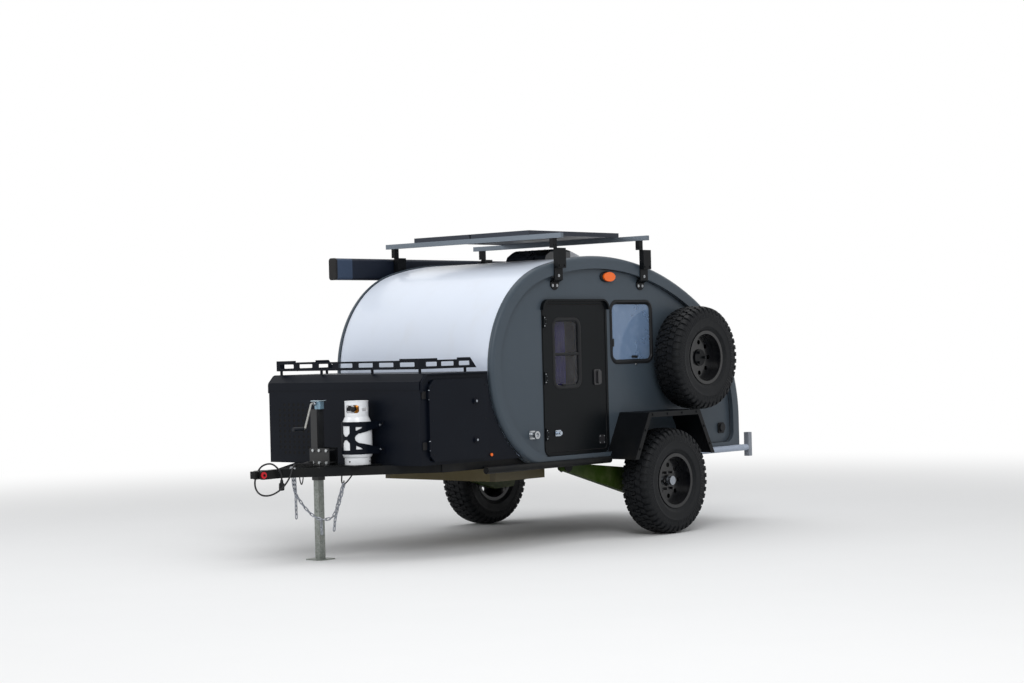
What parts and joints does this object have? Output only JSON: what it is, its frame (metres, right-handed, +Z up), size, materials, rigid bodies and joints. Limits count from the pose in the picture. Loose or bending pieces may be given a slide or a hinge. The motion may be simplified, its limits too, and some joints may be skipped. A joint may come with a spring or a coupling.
{
  "type": "teardrop camping trailer",
  "caption": "Off-road teardrop trailer with front box, tray rack, gas cylinder, fenders, spare wheel, roof panels and awning case",
  "frame": {"origin": "on the ground under the middle of the trailer's length and width", "axes": "+Z up, drawbar towards -Y, spare wheel on the +X side"},
  "size_m": [2.114, 4.58, 2.296],
  "materials": {
    "frame_black": "satin powder coat",
    "zinc": "galvanised",
    "arm_green": "gloss powder coat",
    "bushing_red": "satin",
    "tyre": "matte",
    "wheel_black": "satin",
    "box_black": "fine texture powder coat",
    "wall": "satin",
    "skin_white": "gloss",
    "door": "satin",
    "window_frame": "satin",
    "bar_silver": "brushed",
    "panel": "gloss",
    "vent": "semi gloss",
    "awning": "matte",
    "amber": "gloss",
    "red_lamp": "gloss",
    "gas_white": "gloss",
    "brass": "machined",
    "tan": "matte",
    "rubber_black": "matte",
    "curtain": "woven",
    "mattress": "woven",
    "galley_wood": "varnished",
    "floor_board": "painted",
    "dusty_steel": "matte"
  },
  "bodies": {
    "trailer": {"chassis_frame": "frame_black", "drawbar": "frame_black", "coupler": "frame_black", "coupler_head": "frame_black", "coupler_bushing": "bushing_red", "jack_tube": "frame_black", "jack_crank": "zinc", "trailing_arms": "arm_green", "air_springs": "rubber_black", "dampers": "frame_black", "spare_wheel": "wheel_black", "spare_tyre": "tyre", "spare_carrier": "frame_black", "fenders": "frame_black", "side_bars": "frame_black", "rear_bumper": "dusty_steel", "hitch_receiver": "frame_black", "underfloor_box": "tan", "side_wall_left": "wall", "side_wall_right": "wall", "roof_skin": "skin_white", "cabin_floor": "floor_board", "galley": "galley_wood", "mattress": "mattress", "door_frames": "door", "side_windows": "window_frame", "front_box": "box_black", "box_trim": "box_black", "box_rack": "box_black", "gas_cylinder": "gas_white", "gas_valve": "brass", "gas_holder": "box_black", "roof_brackets": "frame_black", "crossbars": "bar_silver", "solar_panels": "panel", "roof_vent": "vent", "awning_case": "awning", "side_markers": "amber", "tail_lamps": "red_lamp", "door_catches": "zinc", "power_inlet": "rubber_black", "trailer_cable": "rubber_black", "cable_plug": "rubber_black", "cable_gland": "rubber_black"},
    "wheel_left": {"wheel_left": "wheel_black", "tyre_left": "tyre"},
    "wheel_right": {"wheel_right": "wheel_black", "tyre_right": "tyre"},
    "entry_door_left": {"entry_door_left": "door", "door_window_left": "window_frame", "door_handle_left": "window_frame", "door_curtain_left": "curtain"},
    "entry_door_right": {"entry_door_right": "door", "door_window_right": "window_frame", "door_handle_right": "window_frame", "door_curtain_right": "curtain"},
    "box_door_left": {"box_door_left": "box_black"},
    "box_door_right": {"box_door_right": "box_black"},
    "galley_hatch": {"galley_hatch": "skin_white"},
    "jack_leg": {"jack_leg": "zinc"}
  },
  "joints": [
    {"name": "wheel_left_spin", "type": "hinge", "parent": "trailer", "child": "wheel_left", "pos_m": [0.9345, 1.01, 0.4], "axis": [1, 0, 0], "continuous": true},
    {"name": "wheel_right_spin", "type": "hinge", "parent": "trailer", "child": "wheel_right", "pos_m": [-0.9345, 1.01, 0.4], "axis": [1, 0, 0], "continuous": true},
    {"name": "entry_door_left_hinge", "type": "hinge", "parent": "trailer", "child": "entry_door_left", "pos_m": [0.776, -0.139, 1.2], "axis": [0, 0, -1], "range_deg": [0, 150]},
    {"name": "entry_door_right_hinge", "type": "hinge", "parent": "trailer", "child": "entry_door_right", "pos_m": [-0.776, -0.139, 1.2], "axis": [0, 0, 1], "range_deg": [0, 150]},
    {"name": "box_door_left_hinge", "type": "hinge", "parent": "trailer", "child": "box_door_left", "pos_m": [0.796, -1.387, 0.95], "axis": [0, 0, -1], "range_deg": [0, 110]},
    {"name": "box_door_right_hinge", "type": "hinge", "parent": "trailer", "child": "box_door_right", "pos_m": [-0.796, -1.387, 0.95], "axis": [0, 0, 1], "range_deg": [0, 110]},
    {"name": "galley_hatch_hinge", "type": "hinge", "parent": "trailer", "child": "galley_hatch", "pos_m": [0, 1.393, 1.8965], "axis": [1, 0, 0], "range_deg": [0, 75]},
    {"name": "jack_leg_slide", "type": "slide", "parent": "trailer", "child": "jack_leg", "axis": [0, 0, 1], "range_m": [0, 0.28]}
  ]
}
